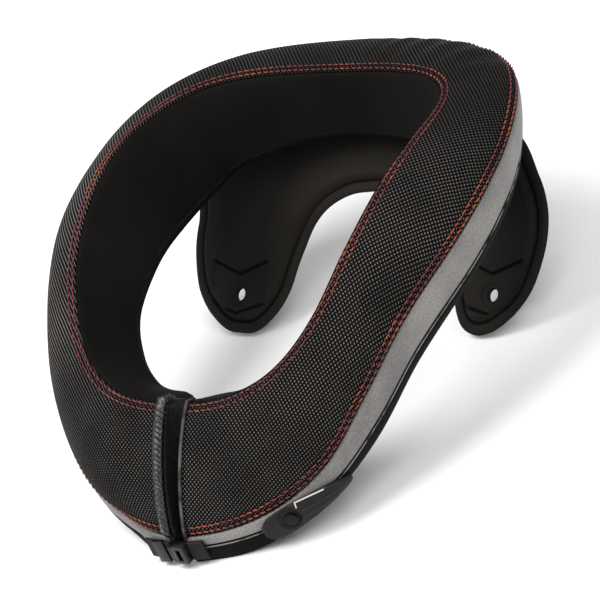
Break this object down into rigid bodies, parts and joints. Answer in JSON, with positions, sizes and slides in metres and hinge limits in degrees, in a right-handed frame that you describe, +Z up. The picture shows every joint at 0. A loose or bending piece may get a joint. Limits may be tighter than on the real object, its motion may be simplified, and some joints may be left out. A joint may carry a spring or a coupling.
{
  "type": "motocross neck brace",
  "caption": "Padded collar for the neck with a slit and small buckle at the front and a U-shaped foam panel with two wings at the back.",
  "frame": {"origin": "middle of the bounding box at the level of the table the brace stands on", "axes": "+X to the wearer's left, -Y to the front where the slit and buckle are, +Z up from the table through the neck opening"},
  "size_m": [0.21, 0.2281, 0.101],
  "materials": {
    "foam": "matt",
    "woven_cover": "coarse weave",
    "neoprene": "matt",
    "reflective": "satin",
    "vinyl": "glossy",
    "grey_piping": "satin",
    "webbing": "matt",
    "plastic": "satin",
    "rubber": "matt"
  },
  "bodies": {
    "root": {"collar_core": "foam", "top_cover": "woven_cover", "reflective_strip": "reflective", "base_band": "neoprene", "inner_wall": "neoprene", "slit_facing_left": "vinyl", "slit_facing_right": "vinyl", "slit_binding": "vinyl", "slit_piping": "grey_piping", "back_panel": "neoprene", "strap_left": "webbing", "strap_right": "webbing", "strap_keeper": "plastic", "buckle_socket": "plastic", "buckle_plug": "plastic", "side_tab": "rubber", "tab_rivet": "rubber"}
  },
  "joints": []
}
